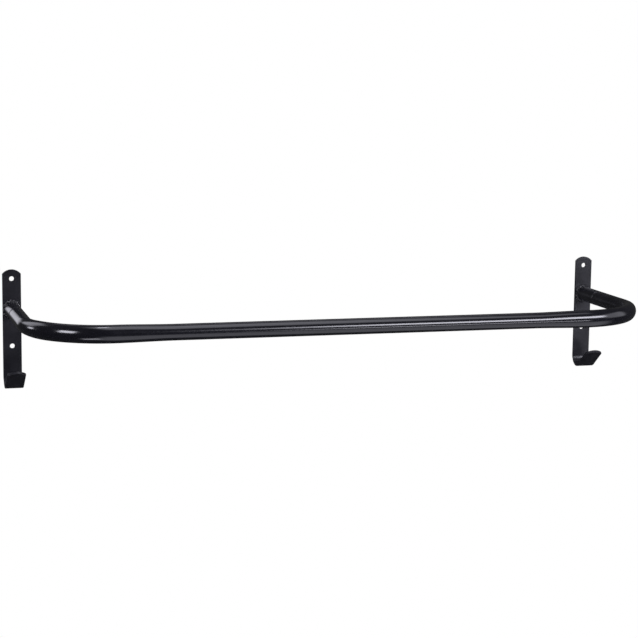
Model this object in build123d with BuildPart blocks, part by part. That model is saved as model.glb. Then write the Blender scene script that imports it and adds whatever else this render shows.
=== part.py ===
"""Wall-mounted tack bar: a U-bent tube on two welded strap brackets, each with a hook.

Millimetres. +Z is up and +X runs along the bar. The wall is the plane Y = 0, and the
object stands out from it towards -Y. The origin is the centre of the four screw holes.
"""

import os
from math import cos, radians, sin

from build123d import *

# --- Overall layout -------------------------------------------------------------------
bracket_centres = 1000.0       # between the two brackets, along the bar
bar_projection = 285.0         # wall to the centreline of the front run
arm_height = 5.0               # arm centreline above the middle of the screw holes

# --- Bar: one round tube, bent twice ----------------------------------------------------
bar_diameter = 25.4
bar_wall = 1.5
bend_radius = 120.0            # to the tube's centreline
bar_end_gap = 70.0             # wall to the tube's cut ends
cut_end_break = 0.3            # bevel left by deburring every cut tube end

# --- Spigots: stubs of the bar's own diameter, swaged down to a nose that the bar pushes over --
spigot_wall = 2.0
spigot_clearance = 0.05        # radial, a running fit in the bar's bore
spigot_tip_margin = 1.0        # straight bore left past the nose's tip
swage_length = 1.5             # shoulder between the stub and its nose
joint_gap = 0.3                # shoulder's foot to the bar's end when the bar is home

# --- Brackets: flat strap -----------------------------------------------------------------
strap_width = 30.0
strap_thickness = 4.0
strap_edge_radius = 0.6        # rolled edges of the flat stock
hole_spacing = 110.0
hole_diameter = 8.0
hole_edge_break = 0.35
top_margin = 15.0              # upper hole centre to the crown of the top end
end_arc_rise = 7.0             # height of the arched ends over the strap's width

# --- Hook: the strap's lower end, bent out and up -------------------------------------------
hook_drop = 67.0               # lower hole centre to the underside of the hook
hook_inner_radius = 13.0
hook_bend_angle = 128.0        # turned through, from hanging straight down
hook_lip_length = 46.0         # straight lip, from the end of the bend to its crown

# --- Weld run round each spigot's foot --------------------------------------------------------
weld_edge_margin = 0.3         # strap left bare beside the bead, where the strap is narrower
weld_leg_on_strap = 3.6
weld_leg_on_spigot = 4.2
weld_bulge = 0.5               # how far the bead stands out from a straight fillet

# --- Worked out from the sizes above ------------------------------------------------------------
bore_radius = bar_diameter / 2 - bar_wall
stub_radius = bar_diameter / 2
nose_radius = bore_radius - spigot_clearance
arm_end = bar_projection - bend_radius
nose_end = arm_end - spigot_tip_margin
nose_start = bar_end_gap - joint_gap
stub_end = nose_start - swage_length
bracket_x = bracket_centres / 2
half_strap = strap_width / 2
upper_hole_z = hole_spacing / 2
crown_z = upper_hole_z + top_margin
shoulder_z = crown_z - end_arc_rise
weld_radius = stub_radius + weld_leg_on_strap
weld_reach = weld_leg_on_spigot + weld_bulge
hook_outer_radius = hook_inner_radius + strap_thickness
hook_centre_z = hook_outer_radius - upper_hole_z - hook_drop
hook_turn = radians(hook_bend_angle)

os.makedirs("parts", exist_ok=True)


def save(piece, name):
    """Label a finished piece and write its STEP file."""
    piece.label = name
    export_step(piece, f"parts/{name}.step")


def hook_point(radius, turn):
    """Point (y, z) on the hook's bend, once it has turned through an angle in radians."""
    return (radius * cos(turn) - hook_outer_radius, hook_centre_z - radius * sin(turn))


def lip_point(radius):
    """Point (y, z) at the lip's crown, on the face that leaves the bend at a radius."""
    y, z = hook_point(radius, hook_turn)
    return (y - hook_lip_length * sin(hook_turn), z - hook_lip_length * cos(hook_turn))


def bend_arc(radius):
    """One face of the hook's bend."""
    turns = (0, hook_turn / 2, hook_turn)
    return ThreePointArc(*[hook_point(radius, turn) for turn in turns])


# --- Brackets, each with its spigot and weld ---------------------------------------------------
for side, x in (("left", -bracket_x), ("right", bracket_x)):

    with BuildPart() as bracket:
        # The strap seen from the side, pushed out to its full width.
        with BuildSketch(Plane.YZ.offset(x)):
            with BuildLine():
                Line((0, crown_z), (0, hook_centre_z))
                bend_arc(hook_outer_radius)
                Polyline(
                    hook_point(hook_outer_radius, hook_turn),
                    lip_point(hook_outer_radius),
                    lip_point(hook_inner_radius),
                    hook_point(hook_inner_radius, hook_turn),
                )
                bend_arc(hook_inner_radius)
                Polyline((-strap_thickness, hook_centre_z), (-strap_thickness, crown_z), (0, crown_z))
            make_face()
        extrude(amount=half_strap, both=True)

        # Waste above the arched top end, cut through the strap from the wall side.
        with BuildSketch(Plane.XZ):
            with BuildLine():
                ThreePointArc((x - half_strap, shoulder_z), (x, crown_z), (x + half_strap, shoulder_z))
                Polyline(
                    (x + half_strap, shoulder_z),
                    (x + half_strap, crown_z + end_arc_rise),
                    (x - half_strap, crown_z + end_arc_rise),
                    (x - half_strap, shoulder_z),
                )
            make_face()
        extrude(amount=strap_thickness, mode=Mode.SUBTRACT)

        # Waste beyond the lip's arched end, cut square through the lip.
        lip_plane = Plane(
            origin=(x, *lip_point(hook_outer_radius)),
            x_dir=(-1, 0, 0),
            z_dir=(0, -cos(hook_turn), sin(hook_turn)),
        )
        with BuildSketch(lip_plane):
            with BuildLine():
                ThreePointArc((-half_strap, -end_arc_rise), (0, 0), (half_strap, -end_arc_rise))
                Polyline(
                    (half_strap, -end_arc_rise),
                    (half_strap, end_arc_rise),
                    (-half_strap, end_arc_rise),
                    (-half_strap, -end_arc_rise),
                )
            make_face()
        extrude(amount=strap_thickness, mode=Mode.SUBTRACT)

        # Rolled edges: all but the short corners across the strap's thickness.
        outline = bracket.edges().filter_by(lambda edge: edge.length > 1.5 * strap_thickness)
        fillet(outline, radius=strap_edge_radius)

        # Screw holes, one above and one below the spigot.
        with BuildSketch(Plane.XZ):
            with Locations((x, upper_hole_z), (x, -upper_hole_z)):
                Circle(hole_diameter / 2)
        extrude(amount=strap_thickness, mode=Mode.SUBTRACT)
        hole_rims = bracket.edges(Select.LAST).filter_by(GeomType.CIRCLE)
        chamfer(hole_rims, length=hole_edge_break)
    save(bracket.part, f"{side}_wall_bracket")

    # One tube, its outer skin from the strap to the tip and its bore back again, turned round.
    with BuildPart() as spigot:
        with BuildSketch(Plane.YZ.offset(x)):
            with BuildLine():
                outer = [
                    (-strap_thickness, stub_radius),
                    (-stub_end, stub_radius),
                    (-nose_start, nose_radius),
                    (-nose_end, nose_radius),
                ]
                inner = [(y, radius - spigot_wall) for y, radius in reversed(outer)]
                skin = [(y, arm_height + radius) for y, radius in outer + inner]
                Polyline(*skin, close=True)
            make_face()
        revolve(axis=Axis((x, 0, arm_height), (0, 1, 0)))
        tip_rims = spigot.faces().sort_by(Axis.Y)[0].edges()
        chamfer(tip_rims, length=cut_end_break)
    save(spigot.part, f"{side}_spigot")

    # The bead's section, a fillet with a bulged face, turned round the stub and kept on the strap.
    with BuildPart() as weld_bead:
        foot = (-strap_thickness, arm_height + stub_radius)
        on_strap = (-strap_thickness, arm_height + weld_radius)
        on_spigot = (-strap_thickness - weld_leg_on_spigot, arm_height + stub_radius)
        with BuildSketch(Plane.YZ.offset(x)):
            with BuildLine():
                Polyline(on_strap, foot, on_spigot)
                SagittaArc(on_spigot, on_strap, weld_bulge)
            make_face()
        revolve(axis=Axis((x, 0, arm_height), (0, 1, 0)))
        kept = (strap_width - 2 * weld_edge_margin, 2 * weld_reach, 2 * weld_radius)
        with Locations((x, -strap_thickness, arm_height)):
            Box(*kept, mode=Mode.INTERSECT)
    save(weld_bead.part, f"{side}_weld_bead")

# --- Bar --------------------------------------------------------------------------------------------
with BuildPart() as bar:
    with BuildLine(Plane.XY.offset(arm_height)) as centreline:
        FilletPolyline(
            (-bracket_x, -bar_end_gap),
            (-bracket_x, -bar_projection),
            (bracket_x, -bar_projection),
            (bracket_x, -bar_end_gap),
            radius=bend_radius,
        )
    with BuildSketch(Plane.XZ.offset(bar_end_gap)):
        with Locations((-bracket_x, arm_height)):
            Circle(bar_diameter / 2)
            Circle(bore_radius, mode=Mode.SUBTRACT)
    sweep(path=centreline.wires()[0])
    end_rims = bar.faces().filter_by(Axis.Y).edges()
    chamfer(end_rims, length=cut_end_break)
save(bar.part, "bar")
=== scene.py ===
"""Black powder-coated tack bar on two strap hooks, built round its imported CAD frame.

Metres, in the frame's own axes: +X along the bar, +Y into the wall, +Z up.
"""

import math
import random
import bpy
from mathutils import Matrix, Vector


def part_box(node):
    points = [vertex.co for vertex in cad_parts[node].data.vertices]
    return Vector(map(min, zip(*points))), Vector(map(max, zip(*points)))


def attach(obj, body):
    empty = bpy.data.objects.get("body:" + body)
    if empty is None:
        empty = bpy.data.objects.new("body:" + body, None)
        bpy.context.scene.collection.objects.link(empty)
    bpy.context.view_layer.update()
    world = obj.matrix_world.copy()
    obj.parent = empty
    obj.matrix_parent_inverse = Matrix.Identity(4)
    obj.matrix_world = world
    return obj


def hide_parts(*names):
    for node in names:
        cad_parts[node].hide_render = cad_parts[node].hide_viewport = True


bl_info = {
    "name": "Tack bar with strap hooks",
    "version": (1, 0, 0),
    "blender": (4, 5, 0),
    "location": "3D View > Sidebar > Tack Bar",
    "description": "Builds a coated tack bar, its spigots, weld runs and strap hooks round the CAD frame",
    "category": "Object",
}

import bmesh
import bpy
from bpy.props import (
    FloatProperty,
    FloatVectorProperty,
    IntProperty,
    PointerProperty,
)
from mathutils import Matrix, Vector, noise

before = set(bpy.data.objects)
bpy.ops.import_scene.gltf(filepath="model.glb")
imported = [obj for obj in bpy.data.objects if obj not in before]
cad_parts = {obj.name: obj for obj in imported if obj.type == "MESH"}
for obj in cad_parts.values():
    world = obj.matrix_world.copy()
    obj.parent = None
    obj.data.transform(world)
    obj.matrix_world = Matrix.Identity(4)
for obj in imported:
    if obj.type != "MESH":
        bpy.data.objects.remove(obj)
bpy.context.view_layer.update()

BAR_LOW, BAR_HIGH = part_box("bar")
STRAP_LOW, STRAP_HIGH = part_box("right_wall_bracket")
SPIGOT_LOW, SPIGOT_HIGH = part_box("right_spigot")
WELD_LOW, WELD_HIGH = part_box("right_weld_bead")

BRACKET_X = (STRAP_LOW.x + STRAP_HIGH.x) / 2
BAR_RADIUS = (BAR_HIGH.z - BAR_LOW.z) / 2
ARM_Z = (BAR_HIGH.z + BAR_LOW.z) / 2
SIDES = (("left", -BRACKET_X), ("right", BRACKET_X))

QUARTER_TURN = math.pi / 2
RIM_STEPS = 4
NODE_SPACING = 180
MERGE_DISTANCE = 1e-7
WAVES_PER_METRE = 18.0          # long, faint waves along the tube

# The coat's index of refraction, and how far its drift and its masks change its roughness
COAT_IOR = 1.5
ROUGHNESS_DRIFT_SHARE = 0.25
THIN_ROUGHENS = 0.08
RUBS_ROUGHEN = 0.2
DUST_ROUGHENS = 0.5

LENGTH = {"unit": "LENGTH", "subtype": "DISTANCE"}
ANGLE = {"unit": "ROTATION", "subtype": "ANGLE"}
COAT_COLOUR = {"subtype": "COLOR", "size": 3, "min": 0, "max": 1}


# --- Sizes and finishes that a user may change ------------------------------------------------


class TackBarSizes(bpy.types.PropertyGroup):
    """The bent tube."""

    bend_radius: FloatProperty(
        name="Bend Radius", description="To the tube's centreline", default=0.12, min=0.03, **LENGTH
    )
    wall: FloatProperty(
        name="Tube Wall", description="Thickness of the tube's wall",
        default=0.0015, min=0.0005, **LENGTH,
    )
    rim_radius: FloatProperty(
        name="Rim Radius", description="Rounding of the coated cut ends",
        default=0.0003, min=0.00005, **LENGTH,
    )
    flattening: FloatProperty(
        name="Bend Flattening", description="Share of the radius lost across each bend",
        default=0.07, min=0, max=0.2, subtype="FACTOR",
    )
    swelling: FloatProperty(
        name="Bend Swelling", description="Share of the radius gained above and below each bend",
        default=0.11, min=0, max=0.2, subtype="FACTOR",
    )
    run_out: FloatProperty(
        name="Run Out", description="How far a bend's oval section goes on into the front run",
        default=0.09, min=0, **LENGTH,
    )
    waviness: FloatProperty(
        name="Waviness", description="Height of the tube's long, faint waves",
        default=0.00003, min=0, **LENGTH,
    )
    segments: IntProperty(name="Segments", description="Points round the tube", default=96, min=24, max=256)


class SpigotSizes(bpy.types.PropertyGroup):
    """The stubs on the straps, each swaged down to a nose that the bar pushes over."""

    wall: FloatProperty(
        name="Tube Wall", description="Thickness of the spigot's wall",
        default=0.002, min=0.0005, **LENGTH,
    )
    clearance: FloatProperty(
        name="Clearance", description="Between the nose and the bar's bore",
        default=0.00005, min=0, **LENGTH,
    )
    swage: FloatProperty(
        name="Swage Length", description="Shoulder between the stub and its nose",
        default=0.0015, min=0.0005, **LENGTH,
    )
    gap: FloatProperty(
        name="Joint Gap", description="Between the shoulder's foot and the bar's end",
        default=0.0003, min=0, **LENGTH,
    )
    rim_radius: FloatProperty(
        name="Rim Radius", description="Rounding of the tip", default=0.0003, min=0.00005, **LENGTH
    )
    seating: FloatProperty(
        name="Seating", description="How far the foot is let into the strap",
        default=0.0002, min=0, **LENGTH,
    )
    segments: IntProperty(name="Segments", description="Points round the tube", default=80, min=24, max=256)


class StrapSizes(bpy.types.PropertyGroup):
    """The flat strap and the hook bent from it."""

    thickness: FloatProperty(
        name="Thickness", description="Of the flat stock", default=0.004, min=0.001, **LENGTH
    )
    edge_radius: FloatProperty(
        name="Edge Radius", description="Rolled edges of the flat stock",
        default=0.0007, min=0.0001, **LENGTH,
    )
    end_rise: FloatProperty(
        name="End Rise", description="Height of the arched ends", default=0.007, min=0, **LENGTH
    )
    hole_radius: FloatProperty(
        name="Hole Radius", description="Of the screw holes", default=0.004, min=0.001, **LENGTH
    )
    hole_height: FloatProperty(
        name="Hole Height", description="Screw holes above and below the middle",
        default=0.055, min=0.02, **LENGTH,
    )
    hole_rim: FloatProperty(
        name="Hole Rim", description="Rounding of the holes' coated rims",
        default=0.00035, min=0.0001, **LENGTH,
    )
    hook_inner_radius: FloatProperty(
        name="Hook Radius", description="Inside of the hook's bend", default=0.013, min=0.004, **LENGTH
    )
    hook_turn: FloatProperty(
        name="Hook Turn", description="Angle of the hook's bend",
        default=math.radians(128), min=0.5, **ANGLE,
    )
    lip_length: FloatProperty(
        name="Lip Length", description="From the bend's end to the lip's crown",
        default=0.046, min=0.02, **LENGTH,
    )
    draw_in: FloatProperty(
        name="Draw In",
        description="How much narrower the strap's outer face gets in the bend, each side",
        default=0.0004,
        min=0,
        **LENGTH,
    )


class WeldSizes(bpy.types.PropertyGroup):
    """The fillet run round each spigot's foot."""

    leg_on_spigot: FloatProperty(
        name="Leg on Spigot", description="How far the run climbs the spigot",
        default=0.0042, min=0.001, **LENGTH,
    )
    bulge: FloatProperty(
        name="Bulge", description="Mean crown over a straight fillet", default=0.0005, min=0, **LENGTH
    )
    lump: FloatProperty(
        name="Lump Height", description="Slow rise and fall along the run",
        default=0.0008, min=0, **LENGTH,
    )
    ripple: FloatProperty(
        name="Ripple Height", description="Height of the overlapping ripples",
        default=0.0008, min=0, **LENGTH,
    )
    ripple_count: IntProperty(
        name="Ripples", description="Ripples once round the spigot", default=18, min=6, max=120
    )
    toe_wander: FloatProperty(
        name="Toe Wander", description="How far the run's two edges wander",
        default=0.0009, min=0, **LENGTH,
    )
    spatter_count: IntProperty(
        name="Spatter", description="Beads of spatter beside each run", default=4, min=0, max=20
    )
    segments: IntProperty(name="Segments", description="Points round the run", default=340, min=60, max=720)


class CoatLook(bpy.types.PropertyGroup):
    """The powder coat that all the pieces share."""

    colour: FloatVectorProperty(
        name="Colour",
        description="The coat where it is clean and thick",
        default=(0.0032, 0.0032, 0.0048),
        **COAT_COLOUR,
    )
    # Also the colour of the lighter edges and rims: partly thin coat, partly a painted highlight along the
    # rounded edges
    thin_coat_and_highlight_colour: FloatVectorProperty(
        name="Thin Colour",
        description="The coat where it draws thin over an edge",
        default=(0.016, 0.016, 0.021),
        **COAT_COLOUR,
    )
    dust_colour: FloatVectorProperty(
        name="Dust Colour",
        description="Dust lying on upward faces",
        default=(0.16, 0.155, 0.15),
        **COAT_COLOUR,
    )
    bar_roughness: FloatProperty(
        name="Bar Roughness", description="Gloss of the bar and spigots", default=0.14, min=0, max=1
    )
    strap_roughness: FloatProperty(
        name="Strap Roughness", description="Gloss of the straps", default=0.34, min=0, max=1
    )
    strap_sheen: FloatProperty(
        name="Strap Sheen", description="Strength of the straps' reflections; 0.5 is bare plastic's",
        default=0.3, min=0, max=1,
    )
    peel_height: FloatProperty(
        name="Peel Height", description="Depth of the orange peel", default=0.000007, min=0, **LENGTH
    )
    dust: FloatProperty(
        name="Dust", description="How much dust has settled",
        default=0.06, min=0, max=1, subtype="FACTOR",
    )


class StageLook(bpy.types.PropertyGroup):
    """Camera, lights and floor."""

    camera_place: FloatVectorProperty(
        name="Camera Place",
        description="Where the camera stands",
        size=3,
        default=(-0.84686, -3.01870, 0.45029),
        unit="LENGTH",
        subtype="TRANSLATION",
    )
    camera_turn: FloatProperty(
        name="Camera Turn", description="To the right of square on",
        default=math.radians(15.985), **ANGLE,
    )
    camera_dip: FloatProperty(
        name="Camera Dip", description="Below the horizon", default=math.radians(8.640), **ANGLE
    )
    camera_roll: FloatProperty(
        name="Camera Roll", description="About the line of sight", default=math.radians(0.689), **ANGLE
    )
    lens: FloatProperty(
        name="Lens", description="Focal length in millimetres on a 36 mm sensor", default=105.58, min=10
    )
    floor_drop: FloatProperty(
        name="Floor Drop", description="The floor's depth below the screw holes",
        default=1.2, min=0.2, **LENGTH,
    )
    floor_radius: FloatProperty(
        name="Floor Radius", description="Half the width of the round floor",
        default=1.45, min=0.5, **LENGTH,
    )
    light_level: FloatProperty(
        name="Light Level", description="Brightness of all the softboxes", default=1.0, min=0
    )
    room_level: FloatProperty(
        name="Room Level", description="Brightness of the dim room round the softboxes",
        default=0.045, min=0,
    )
    light_tint: FloatVectorProperty(
        name="Light Tint",
        description="Colour of all the softboxes",
        subtype="COLOR",
        size=3,
        default=(0.9, 0.9, 1.0),
    )


class TackBarSettings(bpy.types.PropertyGroup):
    """Everything that shapes the tack bar and its stage."""

    bar: PointerProperty(type=TackBarSizes)
    spigot: PointerProperty(type=SpigotSizes)
    strap: PointerProperty(type=StrapSizes)
    weld: PointerProperty(type=WeldSizes)
    coat: PointerProperty(type=CoatLook)
    stage: PointerProperty(type=StageLook)


# --- Mesh helpers -----------------------------------------------------------------------------


def new_object(name, bm, material):
    """Turn a finished bmesh into a smooth-shaded object with one material."""
    bmesh.ops.recalc_face_normals(bm, faces=bm.faces)
    mesh = bpy.data.meshes.new(name)
    bm.to_mesh(mesh)
    bm.free()
    mesh.shade_smooth()
    mesh.materials.append(material)
    made = bpy.data.objects.new(name, mesh)
    bpy.context.scene.collection.objects.link(made)
    return made


def closed_loft(bm, rings, layer=None, marks=None):
    """Skin rings into one closed skin whose last ring meets its first, with a mark on each ring."""
    made = []
    for number, ring in enumerate(rings):
        made.append([bm.verts.new(point) for point in ring])
        if layer is not None:
            for vert in made[-1]:
                vert[layer] = marks[number]
    for ring, following in zip(made, made[1:] + made[:1]):
        for here in range(len(ring)):
            there = (here + 1) % len(ring)
            bm.faces.new((ring[here], ring[there], following[there], following[here]))


def rim_arc(radius):
    """Steps (depth, inset) round a quarter circle, from the end face to the side."""
    for step in range(RIM_STEPS + 1):
        angle = QUARTER_TURN * (1 - step / RIM_STEPS)
        yield radius * (1 - math.sin(angle)), radius * (1 - math.cos(angle))


def spread(start, end, count):
    """Evenly spaced numbers from start to end, both included."""
    return [start + (end - start) * step / count for step in range(count + 1)]


def ring_of(centre_x, centre_z, y, reach, count):
    """Points evenly round a circle that faces along Y."""
    ring = []
    for number in range(count):
        angle = 2 * math.pi * number / count
        across, rise = reach * math.cos(angle), reach * math.sin(angle)
        ring.append(Vector((centre_x + across, y, centre_z + rise)))
    return ring


def smooth_step(share):
    """A share from 0 to 1, eased at both ends."""
    share = min(1.0, max(0.0, share))
    return share * share * (3 - 2 * share)


# --- Shared shader groups ---------------------------------------------------------------------


class NodeGraph:
    """Places and joins nodes in one tree."""

    def __init__(self, tree):
        self.tree = tree
        self.column = 0

    def add(self, kind, **values):
        """A node with its properties set, one column on from the last."""
        node = self.tree.nodes.new(kind)
        node.location = (self.column, 0)
        self.column += NODE_SPACING
        for key, value in values.items():
            setattr(node, key, value)
        return node

    def join(self, source, target):
        """Join an output to an input, or set the input to a number or colour."""
        if isinstance(source, bpy.types.NodeSocket):
            self.tree.links.new(source, target)
        else:
            target.default_value = source

    def maths(self, operation, first, second=0.0, third=None, clamp=False):
        """One Math node's result."""
        node = self.add("ShaderNodeMath", operation=operation, use_clamp=clamp)
        self.join(first, node.inputs[0])
        self.join(second, node.inputs[1])
        if third is not None:
            self.join(third, node.inputs[2])
        return node.outputs[0]

    def ranged(self, value, low, high, to_low=0.0, to_high=1.0):
        """A value carried from one range to another, clamped."""
        node = self.add("ShaderNodeMapRange")
        for name, number in zip(
            ("Value", "From Min", "From Max", "To Min", "To Max"), (value, low, high, to_low, to_high)
        ):
            self.join(number, node.inputs[name])
        return node.outputs["Result"]

    def grain(self, place, scale, detail=2.0, roughness=0.5):
        """Noise from 0 to 1 at a scale in waves per metre."""
        node = self.add("ShaderNodeTexNoise")
        self.join(place, node.inputs["Vector"])
        self.join(scale, node.inputs["Scale"])
        self.join(detail, node.inputs["Detail"])
        self.join(roughness, node.inputs["Roughness"])
        return node.outputs["Fac"]

    def blended(self, share, first, second):
        """Two colours mixed by a mask."""
        node = self.add("ShaderNodeMix", data_type="RGBA")
        self.join(share, node.inputs["Factor"])
        self.join(first, node.inputs["A"])
        self.join(second, node.inputs["B"])
        return node.outputs["Result"]


def new_group(name, inputs, outputs):
    """An empty shader group with named sockets; returns its graph and both sets of sockets."""
    tree = bpy.data.node_groups.new(name, "ShaderNodeTree")
    for label, value in inputs.items():
        kind = "NodeSocketColor" if isinstance(value, tuple) else "NodeSocketFloat"
        socket = tree.interface.new_socket(label, in_out="INPUT", socket_type=kind)
        socket.default_value = value
    for label in outputs:
        kind = "NodeSocketColor" if label == "Colour" else "NodeSocketFloat"
        tree.interface.new_socket(label, in_out="OUTPUT", socket_type=kind)
    graph = NodeGraph(tree)
    source = graph.add("NodeGroupInput")
    result = graph.add("NodeGroupOutput")
    return graph, source.outputs, result.inputs


def orange_peel_group():
    """Height of a sprayed and baked coat: round dimples with a finer grain over them."""
    graph, given, result = new_group(
        "orange_peel",
        {
            "Dimples per Metre": 420.0,
            "Grain per Metre": 1800.0,
            "Grain Share": 0.25,
        },
        ("Height",),
    )
    place = graph.add("ShaderNodeTexCoord").outputs["Object"]
    dimples = graph.grain(place, given["Dimples per Metre"], detail=1.0)
    fine = graph.grain(place, given["Grain per Metre"])
    fine = graph.maths("MULTIPLY", fine, given["Grain Share"])
    graph.join(graph.maths("ADD", dimples, fine), result["Height"])
    return graph.tree


def coat_tone_group():
    """Colour and gloss that drift a little over the coat, with a close mottle."""
    graph, given, result = new_group(
        "coat_tone",
        {
            "Colour": (0.01, 0.01, 0.01, 1.0),
            "Light Colour": (0.02, 0.02, 0.02, 1.0),
            "Mottle per Metre": 500.0,
            "Mottle Amount": 0.4,
            "Roughness": 0.2,
            "Roughness Drift": 0.04,
        },
        ("Colour", "Roughness"),
    )
    place = graph.add("ShaderNodeTexCoord").outputs["Object"]
    drift = graph.ranged(graph.grain(place, 22.0, detail=3.0), low=0.3, high=0.7)
    grain = graph.grain(place, given["Mottle per Metre"], detail=3.0, roughness=0.65)
    mottle = graph.ranged(grain, low=0.35, high=0.7)
    share = graph.maths("MULTIPLY", mottle, given["Mottle Amount"])
    share = graph.maths("MULTIPLY_ADD", drift, share, 0.05)
    graph.join(graph.blended(share, given["Colour"], given["Light Colour"]), result["Colour"])
    uneven = graph.maths("ADD", drift, mottle)
    uneven = graph.maths("SUBTRACT", uneven, 1.0)
    uneven = graph.maths("MULTIPLY", uneven, given["Roughness Drift"])
    graph.join(graph.maths("ADD", uneven, given["Roughness"], clamp=True), result["Roughness"])
    return graph.tree


def edge_thinning_and_highlight_group():
    """Where the coat has drawn back from an edge, broken up along its length; the lighter colour laid there
    is also a painted highlight along the edge.
    """
    graph, given, result = new_group(
        "edge_thinning_and_highlight",
        {
            "Edge": 0.0,
            "Breaks per Metre": 260.0,
            "Amount": 0.6,
        },
        ("Mask",),
    )
    place = graph.add("ShaderNodeTexCoord").outputs["Object"]
    grain = graph.grain(place, given["Breaks per Metre"], detail=3.0, roughness=0.6)
    broken = graph.ranged(grain, low=0.32, high=0.66, to_low=0.35)
    mask = graph.maths("MULTIPLY", broken, given["Edge"])
    graph.join(graph.maths("MULTIPLY", mask, given["Amount"], clamp=True), result["Mask"])
    return graph.tree


def settled_dust_group():
    """Fine dust on faces that look up, in clumps and single specks."""
    graph, given, result = new_group(
        "settled_dust",
        {
            "Amount": 0.1,
            "Clumps per Metre": 60.0,
            "Specks per Metre": 2600.0,
        },
        ("Mask",),
    )
    upward = graph.add("ShaderNodeSeparateXYZ")
    graph.join(graph.add("ShaderNodeNewGeometry").outputs["Normal"], upward.inputs[0])
    lying = graph.ranged(upward.outputs["Z"], low=0.25, high=0.95)
    place = graph.add("ShaderNodeTexCoord").outputs["Object"]
    clumps = graph.grain(place, given["Clumps per Metre"], detail=4.0)
    clumps = graph.ranged(clumps, low=0.35, high=0.75, to_low=0.3)
    specks = graph.grain(place, given["Specks per Metre"], detail=1.0)
    specks = graph.ranged(specks, low=0.45, high=0.75, to_low=0.4)
    mask = graph.maths("MULTIPLY", graph.maths("MULTIPLY", clumps, specks), lying)
    graph.join(graph.maths("MULTIPLY", mask, given["Amount"], clamp=True), result["Mask"])
    return graph.tree


def rub_marks_group():
    """Fine scratches along Y, left by a tube that slides on and off, past a depth from the wall."""
    graph, given, result = new_group(
        "rub_marks",
        {
            "Starts at Depth": 0.07,
            "Scratches per Metre": 1500.0,
            "Amount": 0.6,
        },
        ("Mask",),
    )
    place = graph.add("ShaderNodeTexCoord").outputs["Object"]
    parts = graph.add("ShaderNodeSeparateXYZ")
    graph.join(place, parts.inputs[0])
    depth = graph.maths("MULTIPLY", parts.outputs["Y"], -1.0)
    past = graph.maths("SUBTRACT", depth, given["Starts at Depth"])
    rubbed = graph.ranged(past, low=0.0, high=0.006)
    stretched = graph.add("ShaderNodeVectorMath", operation="MULTIPLY")
    graph.join(place, stretched.inputs[0])
    stretched.inputs[1].default_value = (1.0, 0.03, 1.0)
    lines = graph.grain(stretched.outputs[0], given["Scratches per Metre"], roughness=0.6)
    mask = graph.maths("MULTIPLY", graph.ranged(lines, low=0.52, high=0.72), rubbed)
    graph.join(graph.maths("MULTIPLY", mask, given["Amount"], clamp=True), result["Mask"])
    return graph.tree


def shared_group(name):
    """A shader group, made the first time that it is asked for."""
    makers = {
        "orange_peel": orange_peel_group,
        "coat_tone": coat_tone_group,
        "edge_thinning_and_highlight": edge_thinning_and_highlight_group,
        "settled_dust": settled_dust_group,
        "rub_marks": rub_marks_group,
    }
    return bpy.data.node_groups.get(name) or makers[name]()


# --- Materials --------------------------------------------------------------------------------


def coat_material(name, roughness, mottle, thinning_and_highlight, dimples, peel_share=1.0, rubbed=0.0, sheen=0.5):
    """Black powder coat, from the shared groups, at one piece's gloss and grain."""
    look = bpy.context.scene.tack_bar.coat
    material = bpy.data.materials.new(name)
    material.use_nodes = True
    graph = NodeGraph(material.node_tree)
    shader = material.node_tree.nodes["Principled BSDF"]

    def placed(group, **values):
        node = graph.add("ShaderNodeGroup")
        node.node_tree = shared_group(group)
        for label, value in values.items():
            graph.join(value, node.inputs[label.replace("_", " ")])
        return node.outputs

    tone = placed(
        "coat_tone",
        Colour=(*look.colour, 1.0),
        Light_Colour=(*look.thin_coat_and_highlight_colour, 1.0),
        Mottle_Amount=mottle,
        Roughness=roughness,
        Roughness_Drift=roughness * ROUGHNESS_DRIFT_SHARE,
    )
    edge = graph.add("ShaderNodeAttribute", attribute_name="rim")
    # Lighter colour on edges and rims: partly thin coat, partly a painted highlight along the rounded edges
    thin = placed("edge_thinning_and_highlight", Edge=edge.outputs["Fac"], Amount=thinning_and_highlight)["Mask"]
    dust = placed("settled_dust", Amount=look.dust)["Mask"]
    colour = graph.blended(thin, tone["Colour"], (*look.thin_coat_and_highlight_colour, 1.0))
    worn, roughening = thin, THIN_ROUGHENS
    if rubbed:
        worn = placed("rub_marks", Amount=rubbed, Starts_at_Depth=-BAR_HIGH.y)["Mask"]
        roughening = RUBS_ROUGHEN
        colour = graph.blended(worn, colour, (*look.dust_colour, 1.0))
    rough = graph.maths("MULTIPLY_ADD", worn, roughening, tone["Roughness"])
    colour = graph.blended(dust, colour, (*look.dust_colour, 1.0))
    dull = graph.maths("MULTIPLY_ADD", dust, DUST_ROUGHENS, rough, clamp=True)
    graph.join(colour, shader.inputs["Base Color"])
    graph.join(dull, shader.inputs["Roughness"])

    bump = graph.add("ShaderNodeBump")
    bump.inputs["Strength"].default_value = 1.0
    bump.inputs["Distance"].default_value = look.peel_height * peel_share
    graph.join(placed("orange_peel", Dimples_per_Metre=dimples)["Height"], bump.inputs["Height"])
    graph.join(bump.outputs["Normal"], shader.inputs["Normal"])
    shader.inputs["IOR"].default_value = COAT_IOR
    shader.inputs["Specular IOR Level"].default_value = sheen
    shader.location = (graph.column + NODE_SPACING, 0)
    return material


# --- Operators --------------------------------------------------------------------------------


def bar_ring(centre, outward, bent, radius, sizes):
    """Points round the tube at one station; in a bend the tube is flatter, and taller to match."""
    ring = []
    for number in range(sizes.segments):
        angle = 2 * math.pi * number / sizes.segments
        reach = radius * math.cos(angle) * (1 - sizes.flattening * bent)
        rise = radius * math.sin(angle) * (1 + sizes.swelling * bent)
        point = centre + outward * reach + Vector((0, 0, rise))
        outside = radius > BAR_RADIUS - sizes.wall / 2
        wave = noise.noise(point * WAVES_PER_METRE) * sizes.waviness if outside else 0.0
        ring.append(point + (point - centre).normalized() * (wave - sizes.waviness))
    return ring


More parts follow.
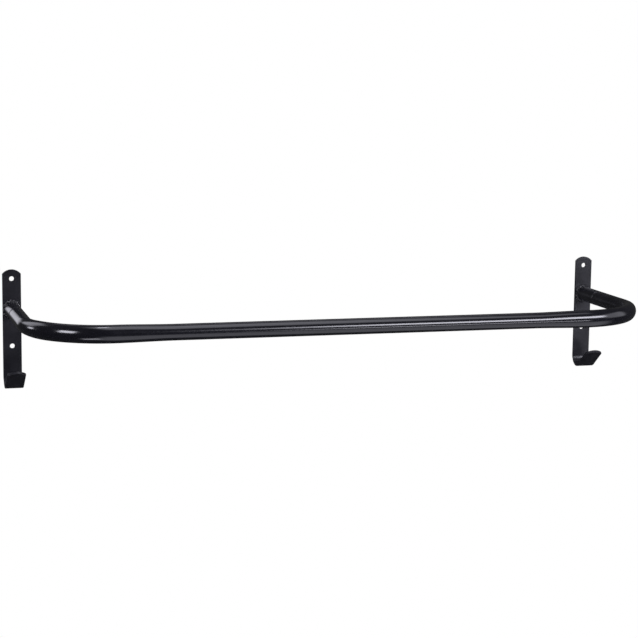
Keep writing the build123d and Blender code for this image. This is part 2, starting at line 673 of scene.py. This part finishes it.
class TACKBAR_OT_pad_bar(bpy.types.Operator):
    """Sweep the hollow tube round its two bends, with rounded, coated rims"""

    bl_idname = "tack_bar.pad_bar"
    bl_label = "Pad Bar"

    ARM_STATIONS = 12
    BEND_STATIONS = 60
    FRONT_STATIONS = 90
    OVAL_ONSET = 2.5            # the section is fully oval one part in this of the way round a bend

    def stations(self, sizes):
        """(centre, outward, how far into a bend) along the tube, from the left end to the right."""
        turn_y = BAR_LOW.y + BAR_RADIUS + sizes.bend_radius
        turn_x = BRACKET_X - sizes.bend_radius
        rim = sizes.rim_radius
        left = [
            (Vector((-BRACKET_X, y, ARM_Z)), Vector((-1, 0, 0)), 0.0)
            for y in spread(BAR_HIGH.y - rim, turn_y, self.ARM_STATIONS)[:-1]
        ]
        for angle in spread(0, QUARTER_TURN, self.BEND_STATIONS):
            bent = smooth_step(self.OVAL_ONSET * angle / QUARTER_TURN)
            outward = Vector((-math.cos(angle), -math.sin(angle), 0))
            left.append((Vector((-turn_x, turn_y, ARM_Z)) + outward * sizes.bend_radius, outward, bent))
        front = []
        for x in spread(-turn_x, turn_x, self.FRONT_STATIONS)[1:-1]:
            bent = smooth_step(1 - (turn_x - abs(x)) / sizes.run_out)
            front.append((Vector((x, BAR_LOW.y + BAR_RADIUS, ARM_Z)), Vector((0, -1, 0)), bent))
        mirrored = [
            (Vector((-centre.x, centre.y, centre.z)), Vector((-outward.x, outward.y, 0)), bent)
            for centre, outward, bent in reversed(left)
        ]
        return left + front + mirrored

    def execute(self, context):
        sizes = context.scene.tack_bar.bar
        stations = self.stations(sizes)
        bore = BAR_RADIUS - sizes.wall
        rings, marks = [], []

        def lay(station, radius, mark, depth=0.0):
            centre, outward, bent = station
            shift = Vector((0, sizes.rim_radius - depth, 0))
            moved = centre + shift if mark else centre
            rings.append(bar_ring(moved, outward, bent, radius, sizes))
            marks.append(mark)

        for depth, inset in rim_arc(sizes.rim_radius):
            lay(stations[0], BAR_RADIUS - inset, 1.0, depth)
        for station in stations:
            lay(station, BAR_RADIUS, 0.0)
        for depth, inset in reversed(list(rim_arc(sizes.rim_radius))):
            lay(stations[-1], BAR_RADIUS - inset, 1.0, depth)
        for depth, inset in rim_arc(sizes.rim_radius):
            lay(stations[-1], bore + inset, 1.0, depth)
        for station in reversed(stations):
            lay(station, bore, 0.0)
        for depth, inset in reversed(list(rim_arc(sizes.rim_radius))):
            lay(stations[0], bore + inset, 1.0, depth)

        bm = bmesh.new()
        closed_loft(bm, rings, bm.verts.layers.float.new("rim"), marks)
        bmesh.ops.remove_doubles(bm, verts=bm.verts, dist=MERGE_DISTANCE)
        look = context.scene.tack_bar.coat
        coat = coat_material(
            "bar_gloss_coat", look.bar_roughness, mottle=0.35, thinning_and_highlight=0.7, dimples=420.0
        )
        made = new_object("pad_bar", bm, coat)
        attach(made, "pull_off_bar")
        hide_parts("bar")
        return {"FINISHED"}


class TACKBAR_OT_spigots(bpy.types.Operator):
    """Make the two stubs with the swaged noses that the bar's ends push over"""

    bl_idname = "tack_bar.spigots"
    bl_label = "Spigots"

    TUBE_STATIONS = 24
    SWAGE_STATIONS = 8
    WORN_AT = 0.4               # share of the swage where the coat is thinnest
    SPIGOT_DULLING = 0.04

    def skin(self, sizes, nose_radius):
        """Stations (y, reach, mark) of the outer skin, from the strap to the tip's face."""
        radius = (SPIGOT_HIGH.z - SPIGOT_LOW.z) / 2
        nose_start = BAR_HIGH.y + sizes.gap
        stub_end = nose_start + sizes.swage
        stations = [(SPIGOT_HIGH.y + sizes.seating, radius, 0.0)]
        stations += [(y, radius, 0.0) for y in spread(SPIGOT_HIGH.y, stub_end, self.TUBE_STATIONS)]
        for share in spread(0, 1, self.SWAGE_STATIONS)[1:]:
            reach = radius - (radius - nose_radius) * (1 - math.sqrt(1 - share**2))
            wear = smooth_step(1 - 2 * abs(share - self.WORN_AT))
            stations.append((stub_end - sizes.swage * share, reach, wear))
        tip = SPIGOT_LOW.y + sizes.rim_radius
        stations += [(y, nose_radius, 0.0) for y in spread(nose_start, tip, self.TUBE_STATIONS)[1:]]
        for depth, inset in reversed(list(rim_arc(sizes.rim_radius))[:-1]):
            stations.append((SPIGOT_LOW.y + depth, nose_radius - inset, 1.0))
        return stations

    def execute(self, context):
        sizes = context.scene.tack_bar.spigot
        look = context.scene.tack_bar.coat
        coat = coat_material(
            "spigot_rubbed_coat",
            look.bar_roughness + self.SPIGOT_DULLING,
            mottle=0.4,
            thinning_and_highlight=0.8,
            dimples=420.0,
            rubbed=0.5,
        )
        nose_radius = BAR_RADIUS - context.scene.tack_bar.bar.wall - sizes.clearance
        bore = nose_radius - sizes.wall
        stations = self.skin(sizes, nose_radius)
        for depth, inset in rim_arc(sizes.rim_radius):
            stations.append((SPIGOT_LOW.y + depth, bore + inset, 1.0))
        stations.append((SPIGOT_HIGH.y + sizes.seating, bore, 0.0))
        for side, x in SIDES:
            rings = [ring_of(x, ARM_Z, y, reach, sizes.segments) for y, reach, _mark in stations]
            bm = bmesh.new()
            marks = [mark for _y, _reach, mark in stations]
            closed_loft(bm, rings, bm.verts.layers.float.new("rim"), marks)
            made = new_object(f"{side}_spigot_tube", bm, coat)
            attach(made, "wall_brackets")
            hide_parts(f"{side}_spigot")
        return {"FINISHED"}


class FlatStrap:
    """The strap as a flat blank: across its width, along its length, and through its thickness."""

    COLUMNS = 5
    HOLE_CELLS = 10
    END_ROWS = 4
    MIDDLE_ROWS = 36
    LOWER_ROWS = 16
    BEND_ROWS = 44
    LIP_ROWS = 14
    PATCH_SHARE = 0.47          # half of the square patch round a hole, as a share of half the width
    PATCH_RINGS = (0.35, 0.7, 1.0)
    LEAST_RIM = 0.3
    DRAW_IN_EASE = 4

    def __init__(self, sizes):
        self.sizes = sizes
        self.bm = bmesh.new()
        self.rim = self.bm.verts.layers.float.new("rim")
        self.half = (STRAP_HIGH.x - STRAP_LOW.x) / 2
        self.patch = self.half * self.PATCH_SHARE
        self.outer_radius = sizes.hook_inner_radius + sizes.thickness
        self.mid_radius = sizes.hook_inner_radius + sizes.thickness / 2
        self.bend_start = STRAP_HIGH.z - (STRAP_LOW.z + self.outer_radius)
        self.bend_length = self.mid_radius * sizes.hook_turn
        self.length = self.bend_start + self.bend_length + sizes.lip_length

    def vert(self, across, along, through, rim=0.0):
        """A vertex of the flat blank."""
        made = self.bm.verts.new((across, along, through))
        made[self.rim] = rim
        return made

    def end_drop(self, across):
        """How far an arched end, less its edge radius, is from the crown."""
        rise = self.sizes.end_rise
        arc = (self.half**2 + rise**2) / (2 * rise)
        return arc - math.sqrt((arc - self.sizes.edge_radius) ** 2 - across**2)

    def columns(self):
        """Places across the width: even over the holes, then out to the edges."""
        patch = self.patch
        edge = self.half - self.sizes.edge_radius
        outer = spread(patch, edge, self.COLUMNS)[1:]
        return [-place for place in reversed(outer)] + spread(-patch, patch, self.HOLE_CELLS) + outer

    def rows(self):
        """Rows along the blank as functions of the place across, and the rows where holes start."""
        sizes, patch = self.sizes, self.patch
        upper = STRAP_HIGH.z - sizes.hole_height
        lower = STRAP_HIGH.z + sizes.hole_height
        lip_start = self.bend_start + self.bend_length
        last = self.length - (upper - patch)
        plain = spread(upper - patch, upper + patch, self.HOLE_CELLS)
        first_hole = self.END_ROWS
        plain += spread(upper + patch, lower - patch, self.MIDDLE_ROWS)[1:]
        second_hole = self.END_ROWS + len(plain) - 1
        plain += spread(lower - patch, lower + patch, self.HOLE_CELLS)[1:]
        plain += spread(lower + patch, self.bend_start, self.LOWER_ROWS)[1:]
        plain += spread(self.bend_start, lip_start, self.BEND_ROWS)[1:]
        plain += spread(lip_start, last, self.LIP_ROWS)[1:]
        ends = [share / self.END_ROWS for share in range(self.END_ROWS)]
        rows = [lambda u, s=share: self.end_drop(u) * (1 - s) + (upper - patch) * s for share in ends]
        rows += [lambda u, place=place: place for place in plain]
        rows += [
            lambda u, s=share: (self.length - self.end_drop(u)) * (1 - s) + last * s
            for share in reversed(ends)
        ]
        return rows, (first_hole, second_hole)

    def face_sheet(self, through):
        """One flat face with its two holes; returns the outline loop and the two hole loops."""
        columns, (rows, holes) = self.columns(), self.rows()
        first = self.COLUMNS
        inside = range(first, first + self.HOLE_CELLS)
        grid = {}
        for down, row in enumerate(rows):
            for over, across in enumerate(columns):
                pocket = first < over < first + self.HOLE_CELLS and any(
                    hole < down < hole + self.HOLE_CELLS for hole in holes
                )
                if not pocket:
                    grid[over, down] = self.vert(across, row(across), through)
        for down in range(len(rows) - 1):
            for over in range(len(columns) - 1):
                pocket = over in inside and any(hole <= down < hole + self.HOLE_CELLS for hole in holes)
                if not pocket:
                    corners = ((over, down), (over + 1, down), (over + 1, down + 1), (over, down + 1))
                    self.bm.faces.new([grid[corner] for corner in corners])
        wide, tall, cells = len(columns) - 1, len(rows) - 1, self.HOLE_CELLS
        outline = [grid[over, 0] for over in range(wide)]
        outline += [grid[wide, down] for down in range(tall)]
        outline += [grid[over, tall] for over in range(wide, 0, -1)]
        outline += [grid[0, down] for down in range(tall, 0, -1)]
        loops = []
        for hole, side in zip(holes, (-1, 1)):
            square = [grid[first + step, hole] for step in range(cells)]
            square += [grid[first + cells, hole + step] for step in range(cells)]
            square += [grid[first + cells - step, hole + cells] for step in range(cells)]
            square += [grid[first, hole + cells - step] for step in range(cells)]
            centre = Vector((0, STRAP_HIGH.z + side * self.sizes.hole_height, through))
            reach = self.sizes.hole_radius + self.sizes.hole_rim
            loops.append(self.hole_rings(square, centre, reach))
        return outline, loops

    def hole_rings(self, square, centre, reach):
        """Rings from a square gap in to a round hole; returns the round loop."""
        ring = square
        for share in self.PATCH_RINGS:
            following = []
            for corner in square:
                ray = corner.co - centre
                place = centre + ray.lerp(ray.normalized() * reach, share)
                following.append(self.vert(*place))
            for here in range(len(ring)):
                there = (here + 1) % len(ring)
                self.bm.faces.new((ring[here], following[here], following[there], ring[there]))
            ring = following
        return ring

    def edge_strip(self, front, back, radius):
        """Join the loops of two faces round a rolled edge of a radius."""
        thickness = self.sizes.thickness
        count = len(front)
        shifts = []
        for here in range(count):
            before = (front[here].co - front[here - 1].co).normalized()
            after = (front[(here + 1) % count].co - front[here].co).normalized()
            first = Vector((before.y, -before.x, 0))
            second = Vector((after.y, -after.x, 0))
            shifts.append((first + second) / (1 + first.dot(second)))
        rings = [front]
        profile = []
        # The mark peaks halfway round each rolled edge, where the lighter edge colour paints a highlight
        # line
        for angle in spread(0, QUARTER_TURN, RIM_STEPS)[1:]:
            through = thickness - radius * (1 - math.cos(angle))
            profile.append((radius * math.sin(angle), through, math.sin(2 * angle)))
        profile += [(out, thickness - through, mark) for out, through, mark in reversed(profile)]
        for out, through, mark in profile:
            ring = []
            for vert, shift in zip(front, shifts):
                across, along = vert.co.x + shift.x * out, vert.co.y + shift.y * out
                ring.append(self.vert(across, along, through, max(self.LEAST_RIM, mark)))
            rings.append(ring)
        rings.append(back)
        for ring, following in zip(rings, rings[1:]):
            for here in range(count):
                there = (here + 1) % count
                self.bm.faces.new((ring[here], ring[there], following[there], following[here]))

    def build(self):
        """Both faces and all the edges, flat."""
        front_outline, front_holes = self.face_sheet(self.sizes.thickness)
        back_outline, back_holes = self.face_sheet(0.0)
        self.edge_strip(front_outline, back_outline, self.sizes.edge_radius)
        for front, back in zip(front_holes, back_holes):
            self.edge_strip(front[::-1], back[::-1], self.sizes.hole_rim)

    def bent(self, place, x):
        """Where a point of the blank lies once the hook is bent, on the strap centred on x."""
        across, along, through = place
        turned = (along - self.bend_start) / self.mid_radius
        turn = min(max(turned, 0.0), self.sizes.hook_turn)
        radius = self.outer_radius - through
        y = radius * math.cos(turn) - self.outer_radius
        z = STRAP_LOW.z + self.outer_radius - radius * math.sin(turn)
        rest = along - self.bend_start - turn * self.mid_radius
        if rest < 0:
            z -= rest
        else:
            y -= rest * math.sin(turn)
            z -= rest * math.cos(turn)
        share = turned / self.sizes.hook_turn
        narrowing = smooth_step(self.DRAW_IN_EASE * share) * smooth_step(self.DRAW_IN_EASE * (1 - share))
        outer = 1 - through / self.sizes.thickness
        across *= 1 - narrowing * outer * self.sizes.draw_in / self.half
        return Vector((x + across, y, z))

    def copy_for(self, x):
        """A bent copy for one side."""
        made = self.bm.copy()
        for vert in made.verts:
            vert.co = self.bent(vert.co, x)
        return made


class TACKBAR_OT_strap_hooks(bpy.types.Operator):
    """Cut the two strap blanks, with their screw holes and rolled edges, and bend their hooks"""

    bl_idname = "tack_bar.strap_hooks"
    bl_label = "Strap Hooks"

    SHARP_FROM = math.radians(38)

    def execute(self, context):
        look = context.scene.tack_bar.coat
        coat = coat_material(
            "strap_satin_coat",
            look.strap_roughness,
            mottle=0.9,
            thinning_and_highlight=0.9,
            dimples=700.0,
            peel_share=1.6,
            sheen=look.strap_sheen,
        )
        flat = FlatStrap(context.scene.tack_bar.strap)
        flat.build()
        for side, x in SIDES:
            made = new_object(f"{side}_strap_hook", flat.copy_for(x), coat)
            made.data.set_sharp_from_angle(angle=self.SHARP_FROM)
            made.modifiers.new("flat_faces", "WEIGHTED_NORMAL").keep_sharp = True
            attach(made, "wall_brackets")
            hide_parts(f"{side}_wall_bracket")
        flat.bm.free()
        return {"FINISHED"}


class TACKBAR_OT_weld_runs(bpy.types.Operator):
    """Lay a rippled fillet run round each spigot's foot, with a few beads of spatter"""

    bl_idname = "tack_bar.weld_runs"
    bl_label = "Weld Runs"

    FACE_STEPS = 14
    SUNK = 0.0003               # how deep the root lies in the strap and the stub
    EDGE_ROOM = 0.0005          # how far inside the CAD bead's sides the run starts to be held in
    SPILL = 0.2                 # share of a spill past that place which is kept
    SIDE_LEAST_COSINE = 0.1

    # Noise that shapes the run, read round a circle of radius one
    TOE_WAVES, TOE_BIAS = 2.3, 0.3
    LEG_WAVES, LEG_OFFSET = 1.9, Vector((7, 0, 0))
    CROWN_WAVES, CROWN_OFFSET, CROWN_SWING = 4.2, Vector((0, 5, 0)), 1.6
    RIPPLE_WAVES, RIPPLE_LAG = 4.0, 0.9

    # Lump and crater where the arc was stopped; places and widths are angles round the stub
    STOPS = (math.radians(62), math.radians(118))
    STOP_WIDTH = 0.22
    CRATER_DEPTH, CRATER_LAG, CRATER_WIDTH = 0.9, 0.30, 0.12

    NOISE_SHIFT = 3.7           # between the two runs
    SPATTER_SEED = 11
    SPATTER_BEARINGS = (0.9, 2.2)
    SPATTER_REACH = (0.001, 0.005)
    SPATTER_RADIUS = (0.0002, 0.00045)
    SPATTER_FLATTENING = 0.7

    def run_ring(self, sizes, angle, stop, seed):
        """Section (reach, depth) of the run at one angle: its face, then its buried root."""
        strap_y = -bpy.context.scene.tack_bar.strap.thickness
        foot = (SPIGOT_HIGH.z - SPIGOT_LOW.z) / 2
        toe = (WELD_HIGH.z - WELD_LOW.z) / 2
        side = (WELD_HIGH.x - WELD_LOW.x) / 2
        where = Vector((math.cos(angle), math.sin(angle), seed))
        toe += (noise.noise(where * self.TOE_WAVES) - self.TOE_BIAS) * sizes.toe_wander
        toe = min(toe, side / max(abs(where.x), self.SIDE_LEAST_COSINE))
        leg = sizes.leg_on_spigot
        leg += noise.noise(where * self.LEG_WAVES + self.LEG_OFFSET) * sizes.toe_wander
        away = (angle - stop + math.pi) % (2 * math.pi) - math.pi
        stopped = math.exp(-((away / self.STOP_WIDTH) ** 2))
        stopped -= self.CRATER_DEPTH * math.exp(-(((away - self.CRATER_LAG) / self.CRATER_WIDTH) ** 2))
        swing = self.CROWN_SWING * noise.noise(where * self.CROWN_WAVES + self.CROWN_OFFSET)
        crown = sizes.bulge + sizes.lump * (swing + stopped)
        slope = math.hypot(leg, toe - foot)
        normal = (leg / slope, -(toe - foot) / slope)
        section = []
        for step in range(self.FACE_STEPS + 1):
            share = step / self.FACE_STEPS
            lag = (2 * share - 1) ** 2
            phase = angle / (2 * math.pi) * sizes.ripple_count + self.RIPPLE_LAG * lag
            phase = (phase + noise.noise(where * self.RIPPLE_WAVES)) % 1.0
            scale = 1 - (2 * phase - 1) ** 2
            swell = 4 * share * (1 - share)
            height = swell * crown + math.sqrt(swell) * sizes.ripple * (scale - 0.5)
            section.append(
                (
                    toe + (foot - toe) * share + normal[0] * height,
                    strap_y - leg * share + normal[1] * height,
                )
            )
        section[0] = (section[0][0], strap_y + self.SUNK / 2)
        section[-1] = (foot - self.SUNK / 2, section[-1][1])
        root = strap_y + self.SUNK
        inner = foot - self.SUNK
        return section + [(inner, strap_y - leg / 2), (inner, root), ((foot + toe) / 2, root)]

    def kept_on_strap(self, across):
        """A place across the strap, held in where the run would spill over the strap's edge."""
        room = (WELD_HIGH.x - WELD_LOW.x) / 2 - self.EDGE_ROOM
        over = abs(across) - room
        return across if over <= 0 else math.copysign(room + self.SPILL * over, across)

    def execute(self, context):
        sizes = context.scene.tack_bar.weld
        look = context.scene.tack_bar.coat
        coat = coat_material(
            "weld_coat_over_ripples",
            look.bar_roughness,
            mottle=0.5,
            thinning_and_highlight=0.0,
            dimples=600.0,
            peel_share=1.4,
        )
        toe = (WELD_HIGH.z - WELD_LOW.z) / 2
        face_y = -context.scene.tack_bar.strap.thickness
        for number, (side, x) in enumerate(SIDES):
            bm = bmesh.new()
            bm.verts.layers.float.new("rim")
            rings = []
            for step in range(sizes.segments):
                angle = 2 * math.pi * step / sizes.segments
                ring = []
                for reach, y in self.run_ring(sizes, angle, self.STOPS[number], self.NOISE_SHIFT * number):
                    across = self.kept_on_strap(reach * math.cos(angle))
                    ring.append(Vector((x + across, y, ARM_Z + reach * math.sin(angle))))
                rings.append(ring)
            closed_loft(bm, rings)
            draw = random.Random(self.SPATTER_SEED + number)
            near, far = self.SPATTER_BEARINGS
            for _bead in range(sizes.spatter_count):
                bearing = draw.choice((draw.uniform(near, far), draw.uniform(-far, -near)))
                reach = toe + draw.uniform(*self.SPATTER_REACH)
                size = draw.uniform(*self.SPATTER_RADIUS)
                place = (x + reach * math.cos(bearing), face_y, ARM_Z + reach * math.sin(bearing))
                flattened = Matrix.Diagonal((1, self.SPATTER_FLATTENING, 1, 1))
                shape = Matrix.Translation(place) @ flattened
                bmesh.ops.create_icosphere(bm, subdivisions=2, radius=size, matrix=shape)
            made = new_object(f"{side}_weld_run", bm, coat)
            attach(made, "wall_brackets")
            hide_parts(f"{side}_weld_bead")
        return {"FINISHED"}


# name, centre, size across and up, brightness
SOFTBOXES = (
    ("left_front_box", (-2.57, -1.60, 0.80), (1.4, 1.2), 15.0),
    ("right_front_strip", (2.16, -3.30, 1.10), (3.68, 1.4), 17.0),
    ("overhead_box", (0.20, -0.75, 2.20), (2.6, 2.4), 2.4),
    ("overhead_lamp", (-0.40, -0.45, 2.15), (0.4, 0.4), 16.0),
    ("back_overhead_card", (0.30, 1.50, 2.10), (3.0, 1.2), 0.8),
    ("left_back_card", (-1.05, 1.90, 0.22), (0.9, 0.9), 1.3),
    ("left_high_card", (-1.80, 1.20, 1.15), (1.6, 1.6), 2.4),
    ("left_side_lamp", (-2.25, 0.73, 0.22), (0.5, 0.5), 8.0),
    ("low_left_card", (-0.82, -1.10, -1.05), (0.7, 0.4), 5.0),
    ("low_right_card", (1.24, -3.10, -0.80), (1.4, 0.4), 8.5),
    ("low_front_card", (0.40, -1.10, -1.10), (3.4, 1.7), 1.4),
    ("right_side_card", (2.65, -0.95, 0.65), (2.4, 2.0), 1.6),
)


class TACKBAR_OT_stage(bpy.types.Operator):
    """Set the camera, the softboxes, the dim room and the pale floor"""

    bl_idname = "tack_bar.stage"
    bl_label = "Stage"

    FADE_SHARE = 0.25           # of a softbox's width, from its edge to full brightness
    SENSOR_WIDTH = 36.0
    FAR_CLIP = 60.0
    FLOOR_SEGMENTS = 128
    FLOOR_ROUGHNESS = 0.6
    FLOOR_SHARP_FROM = math.radians(30)

    # The floor's section, as (share of its radius, height)
    FLOOR_SECTION = (
        (0.0001, 0.0),
        (0.4, 0.0),
        (0.8, 0.0),
        (1.0, 0.0),
        (1.004, -0.004),
        (1.004, -0.012),
        (0.0001, -0.012),
    )

    def softbox(self, name, centre, size, brightness, tint):
        """An area light aimed at the bar, brightest in its middle and fading to its edges."""
        data = bpy.data.lights.new(name, "AREA")
        data.shape = "RECTANGLE"
        data.size, data.size_y = size
        data.energy = brightness * math.pi * size[0] * size[1]
        data.color = tint
        data.use_nodes = True
        graph = NodeGraph(data.node_tree)
        place = graph.add("ShaderNodeNewGeometry").outputs["Parametric"]
        parts = graph.add("ShaderNodeSeparateXYZ")
        graph.join(place, parts.inputs[0])
        fade = None
        for axis in ("X", "Y"):
            inward = graph.maths("PINGPONG", parts.outputs[axis], 0.5)
            eased = graph.add("ShaderNodeMapRange", interpolation_type="SMOOTHSTEP")
            graph.join(inward, eased.inputs["Value"])
            eased.inputs["From Max"].default_value = self.FADE_SHARE
            fade = eased.outputs[0] if fade is None else graph.maths("MULTIPLY", fade, eased.outputs[0])
        graph.join(fade, data.node_tree.nodes["Emission"].inputs["Strength"])
        lamp = bpy.data.objects.new(name, data)
        bpy.context.scene.collection.objects.link(lamp)
        aim = Vector((0, BAR_LOW.y, ARM_Z)) - Vector(centre)
        lamp.matrix_world = Matrix.Translation(centre) @ aim.to_track_quat("-Z", "Y").to_matrix().to_4x4()
        lamp.visible_camera = False

    def room(self, look):
        """White to the eye, and dim in the coat's reflections."""
        world = bpy.data.worlds.new("studio_room")
        world.use_nodes = True
        graph = NodeGraph(world.node_tree)
        backdrop = world.node_tree.nodes["Background"]
        seen = graph.add("ShaderNodeLightPath").outputs["Is Camera Ray"]
        graph.join(graph.ranged(seen, 0.0, 1.0, look.room_level, 1.0), backdrop.inputs["Strength"])
        backdrop.inputs["Color"].default_value = (1, 1, 1, 1)
        bpy.context.scene.world = world

    def floor(self, look):
        """A round pale floor with a rolled edge."""
        bm = bmesh.new()
        rings = []
        for share, height in self.FLOOR_SECTION:
            reach = look.floor_radius * share
            ring = []
            for step in range(self.FLOOR_SEGMENTS):
                angle = 2 * math.pi * step / self.FLOOR_SEGMENTS
                across, back = reach * math.cos(angle), reach * math.sin(angle)
                ring.append(Vector((across, back, height - look.floor_drop)))
            rings.append(ring)
        closed_loft(bm, rings)
        material = bpy.data.materials.new("pale_floor")
        material.use_nodes = True
        graph = NodeGraph(material.node_tree)
        shader = material.node_tree.nodes["Principled BSDF"]
        place = graph.add("ShaderNodeTexCoord").outputs["Object"]
        shade = graph.grain(place, 9.0, detail=6.0)
        pale = graph.blended(shade, (0.80, 0.80, 0.79, 1), (0.86, 0.86, 0.86, 1))
        graph.join(pale, shader.inputs["Base Color"])
        shader.inputs["Roughness"].default_value = self.FLOOR_ROUGHNESS
        made = new_object("studio_floor", bm, material)
        made.data.set_sharp_from_angle(angle=self.FLOOR_SHARP_FROM)
        made.visible_glossy = False

    def camera(self, look):
        """A long lens a little left of the bar and above it."""
        data = bpy.data.cameras.new("camera")
        data.sensor_width = self.SENSOR_WIDTH
        data.lens = look.lens
        data.clip_end = self.FAR_CLIP
        made = bpy.data.objects.new("camera", data)
        bpy.context.scene.collection.objects.link(made)
        made.matrix_world = (
            Matrix.Translation(look.camera_place)
            @ Matrix.Rotation(-look.camera_turn, 4, "Z")
            @ Matrix.Rotation(QUARTER_TURN - look.camera_dip, 4, "X")
            @ Matrix.Rotation(look.camera_roll, 4, "Z")
        )
        bpy.context.scene.camera = made

    def execute(self, context):
        look = context.scene.tack_bar.stage
        for name, centre, size, brightness in SOFTBOXES:
            self.softbox(name, centre, size, brightness * look.light_level, look.light_tint)
        self.room(look)
        self.floor(look)
        self.camera(look)
        context.scene.view_settings.view_transform = "Standard"
        return {"FINISHED"}


class TACKBAR_PT_panel(bpy.types.Panel):
    """Sizes, finishes and pieces of the tack bar"""

    bl_label = "Tack Bar"
    bl_idname = "TACKBAR_PT_panel"
    bl_space_type = "VIEW_3D"
    bl_region_type = "UI"
    bl_category = "Tack Bar"

    def draw(self, context):
        settings = context.scene.tack_bar
        for step in STEPS:
            self.layout.operator(step.bl_idname)
        for part in ("bar", "spigot", "strap", "weld", "coat", "stage"):
            group = getattr(settings, part)
            box = self.layout.box()
            box.label(text=part.title())
            for name in group.__annotations__:
                box.prop(group, name)


GROUPS = (TackBarSizes, SpigotSizes, StrapSizes, WeldSizes, CoatLook, StageLook, TackBarSettings)
STEPS = (
    TACKBAR_OT_pad_bar,
    TACKBAR_OT_spigots,
    TACKBAR_OT_strap_hooks,
    TACKBAR_OT_weld_runs,
    TACKBAR_OT_stage,
)


def register():
    """Make the settings, the operators and the panel known to Blender."""
    for known in (*GROUPS, *STEPS, TACKBAR_PT_panel):
        bpy.utils.register_class(known)
    bpy.types.Scene.tack_bar = PointerProperty(type=TackBarSettings)


def unregister():
    """Take them away again."""
    del bpy.types.Scene.tack_bar
    for known in reversed((*GROUPS, *STEPS, TACKBAR_PT_panel)):
        bpy.utils.unregister_class(known)


def main():
    """Build every piece and the stage."""
    register()
    bpy.ops.tack_bar.pad_bar()
    bpy.ops.tack_bar.spigots()
    bpy.ops.tack_bar.strap_hooks()
    bpy.ops.tack_bar.weld_runs()
    bpy.ops.tack_bar.stage()


if __name__ == "__main__":
    main()
